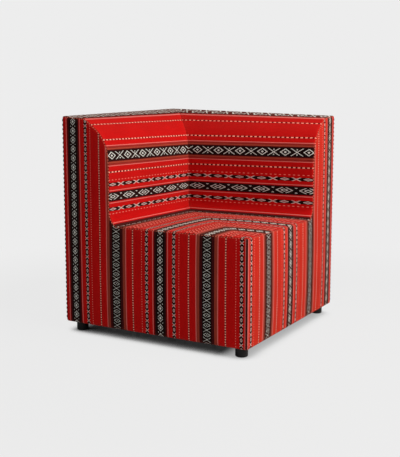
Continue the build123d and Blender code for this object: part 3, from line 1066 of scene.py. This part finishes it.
panels = [
    (
        "panel_front", "panel_right", Piece(front_outline()), on_front, False, panel_swell,
        (front_cloth, right_cloth),
        ("cover_front", "side_pad_front", "end_pad_left_back"),
        ("cover_right", "side_pad_right", "end_pad_rear_back"),
    ),
    (
        "panel_left_outer", "panel_rear_outer", Piece(outer_outline()), on_left, True, panel_swell,
        (front_cloth, front_cloth),
        ("cover_left_outer", "side_pad_left"),
        ("cover_rear_outer", "side_pad_rear"),
    ),
    (
        "seat_front_half", "seat_right_half", Piece(seat_outline(), seat_side_inset, seat_depth),
        on_seat, False, seat_swell, (seat_cloth, seat_cloth),
        ("cover_seat_front", "seat_foam"),
        ("cover_seat_right", "seat_wadding"),
    ),
    (
        "back_left_inner", "back_rear_inner", Piece(inner_outline()), on_back, True, panel_swell,
        (back_cloth, back_cloth),
        ("cover_left_inner", "left_back_foam", "top_pad_left_back"),
        ("cover_rear_inner", "rear_back_foam", "top_pad_rear_back"),
    ),
]
for number, (name, twin_name, piece, placing, flip, swell, cloths, nodes, twin_nodes) in enumerate(panels):
    if placing is not on_back:
        piece.on_cloth = piece.cloth[:, ::-1]
    if placing is on_seat:
        piece.on_cloth = piece.on_cloth + [seat_top, 0]
    places = with_raised_corner(with_round_corners(placing(piece)), piece.depth)
    places = swollen(name, places, piece, swell, flip)
    own = puckered(places, piece, 2 * number + 1, flip)
    add_panel(name, piece, own, flip, cloths[0], nodes)
    other = puckered(twin_places(places), piece, 2 * number + 2, not flip)
    add_panel(twin_name, piece, other, not flip, cloths[1], twin_nodes)


# Thick thread laid over the upright edge at the end of each back, in groups of strands

strand_radius = 0.0014
strand_spacing = 0.0023
strands = 3
group_spacing = 0.016
strand_bend_radius = 0.0084
strand_turn = (0.2, 1.37)
strand_points = 7


def strand_path(level):
    """Points of one strand round the left front edge at a level."""
    middle = edge_radius - half
    turned = np.linspace(*strand_turn, strand_points)
    across = middle - strand_bend_radius * np.cos(turned)
    inward = middle - strand_bend_radius * np.sin(turned)
    return np.stack([across, inward, np.full(strand_points, level)], axis=1)


def add_edge_stitches(name, placing):
    """All groups of strands of one edge, as one piece of thread curves."""
    thread = bpy.data.curves.new(name, "CURVE")
    thread.dimensions = "3D"
    thread.bevel_depth = strand_radius
    thread.bevel_resolution = 2
    thread.use_fill_caps = True
    for lowest in np.arange(body_bottom + group_spacing, body_top - group_spacing / 2, group_spacing):
        for strand in range(strands):
            path = placing(strand_path(lowest + strand_spacing * strand))
            spline = thread.splines.new("POLY")
            spline.points.add(strand_points - 1)
            spline.points.foreach_set("co", np.insert(path, 3, 1, axis=1).ravel())
    thread.materials.append(materials["thread"])
    stitches = shown(name, thread)
    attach(stitches, "root")


add_edge_stitches("edge_stitches_left_back", np.array)
add_edge_stitches("edge_stitches_rear_back", twin_places)


# Sheets of lining cloth, pulled taut and stapled at their rims

sheet_thickness = 0.0006
sheet_step = 0.012
dust_cover_margin = 0.0084
dust_cover_level = 0.0354
dust_cover_sag = 0.002
deck_low = (-0.298, -0.357)
deck_high = (0.357, 0.298)
deck_level = 0.29195
deck_sag = 0.0003
foot_from_middle = 0.332
stud_hole_reach = 0.012


def add_sheet(name, low, high, level, sag, holes):
    """A taut sheet that hangs a little lower in the middle, in place of its CAD node of the same name."""
    low, high = np.array(low), np.array(high)
    counts = np.ceil((high - low) / sheet_step).astype(int) + 1
    places, faces = [], []
    for row in np.linspace(0, 1, counts[1]):
        for column in np.linspace(0, 1, counts[0]):
            x, y = low + (high - low) * np.array([column, row])
            places.append((x, y, level - sag * crown_share(column, row)**2))
    for row in range(counts[1] - 1):
        for column in range(counts[0] - 1):
            start = row * counts[0] + column
            face = (start, start + 1, start + counts[0] + 1, start + counts[0])
            middle = np.mean([places[corner][:2] for corner in face], axis=0)
            if all(math.dist(middle, hole) > stud_hole_reach for hole in holes):
                faces.append(face)
    mesh = bpy.data.meshes.new(name + "_sheet")
    mesh.from_pydata(places, [], faces)
    mesh.shade_smooth()
    mesh.materials.append(materials["lining_cloth"])
    cloth = shown(name + "_sheet", mesh)
    thickness = cloth.modifiers.new("thickness", "SOLIDIFY")
    thickness.thickness = sheet_thickness
    thickness.offset = 0
    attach(cloth, "root")
    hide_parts(name)


cover_reach = half - dust_cover_margin
studs = [(x, y) for x in (-foot_from_middle, foot_from_middle) for y in (-foot_from_middle, foot_from_middle)]
add_sheet(
    "dust_cover", (-cover_reach, -cover_reach), (cover_reach, cover_reach), dust_cover_level,
    dust_cover_sag, studs,
)
add_sheet("deck_cloth", deck_low, deck_high, deck_level, deck_sag, [])


# Floor

backdrop_tint = paint(237, 237, 237)
floor_tint = paint(200, 200, 200)
floor_radius = 9
floor_sides = 96
floor_fade = (0.9, 2.0)
floor_lift = 0.94
contact_reach = 0.08
contact_samples = 16
contact_limits = (0.15, 0.75)
lit_side_limits = (0.24, 0.31)
lit_side_share = 0.48


def floor_material():
    """Pale floor that takes the shadow near the object and melts into the backdrop further out."""
    graph = Graph("floor")
    place = graph.place()
    length = graph.fed_into("ShaderNodeVectorMath", (place,), operation="LENGTH")
    far = graph.smooth(length.outputs["Value"], *floor_fade)
    seen = graph.node("ShaderNodeLightPath").outputs["Is Camera Ray"]
    matt = graph.fed("ShaderNodeBsdfDiffuse", (floor_tint,))
    open_share = graph.node("ShaderNodeAmbientOcclusion", samples=contact_samples)
    open_share.inputs["Distance"].default_value = contact_reach
    contact = graph.smooth(open_share.outputs["AO"], *contact_limits)
    lit = graph.times(graph.smooth(graph.split(place)[0], *lit_side_limits), lit_side_share)
    contact = graph.add(contact, graph.times(graph.minus(1, contact), lit))
    plain = graph.fed("ShaderNodeEmission", (graph.scaled_colour(backdrop_tint, contact),))
    share = graph.times(graph.add(graph.times(far, 1 - floor_lift), floor_lift), seen)
    return graph.finished(graph.fed("ShaderNodeMixShader", (share, matt, plain)))


shape = bmesh.new()
bmesh.ops.create_circle(shape, cap_ends=True, segments=floor_sides, radius=floor_radius)
floor_mesh = bpy.data.meshes.new("floor")
shape.to_mesh(floor_mesh)
shape.free()
floor_mesh.materials.append(floor_material())
shown("floor", floor_mesh)


# Light

ambient_tint = (1, 1, 1, 1)
ambient_strength = 0.178
light_target = (0, 0, 0.4)
lamps = {
    "key": {
        "direction": (0.76, -0.1, 0.66), "distance": 3.0, "size": 2.2, "power": 120,
        "tint": (1, 0.98, 0.94),
    },
    "front_fill": {
        "direction": (-0.2, -0.95, 0.45), "distance": 4.0, "size": 2.5, "power": 10,
        "tint": (1, 1, 1),
    },
}


def studio():
    """Even light all round, and the backdrop's colour where the camera looks past the floor."""
    graph = Graph("studio", bpy.data.worlds)
    seen = graph.node("ShaderNodeLightPath").outputs["Is Camera Ray"]
    light = graph.fed("ShaderNodeBackground", (ambient_tint, ambient_strength))
    backdrop = graph.fed("ShaderNodeBackground", (backdrop_tint,))
    mix = graph.fed("ShaderNodeMixShader", (seen, light, backdrop))
    return graph.finished(mix, "ShaderNodeOutputWorld")


def add_area_light(name, direction, distance, size, power, tint):
    """Square soft light that looks at the middle of the object from a direction."""
    data = bpy.data.lights.new(name, "AREA")
    data.size = size
    data.energy = power
    data.color = tint
    lamp = shown(name, data)
    away = Vector(direction).normalized()
    lamp.location = Vector(light_target) + away * distance
    lamp.rotation_euler = away.to_track_quat("Z", "Y").to_euler()


scene.world = studio()
for name, lamp in lamps.items():
    add_area_light(name, **lamp)


# Camera, at the photograph's angle

camera_azimuth = 29.975
camera_elevation = 7.816
camera_location = (1.47844, -2.5961, 0.80223)
camera_lens = 62.16
camera_shift = -0.01765
sensor_size = 36

camera_data = bpy.data.cameras.new("camera")
camera_data.sensor_fit = "VERTICAL"
camera_data.sensor_width = camera_data.sensor_height = sensor_size
camera_data.lens = camera_lens
camera_data.shift_y = camera_shift
turn = Euler((math.pi / 2 - math.radians(camera_elevation), 0, math.radians(camera_azimuth)))
camera = shown("camera", camera_data)
camera.matrix_world = Matrix.LocRotScale(Vector(camera_location), turn, None)
scene.camera = camera
scene.view_settings.view_transform = "Standard"
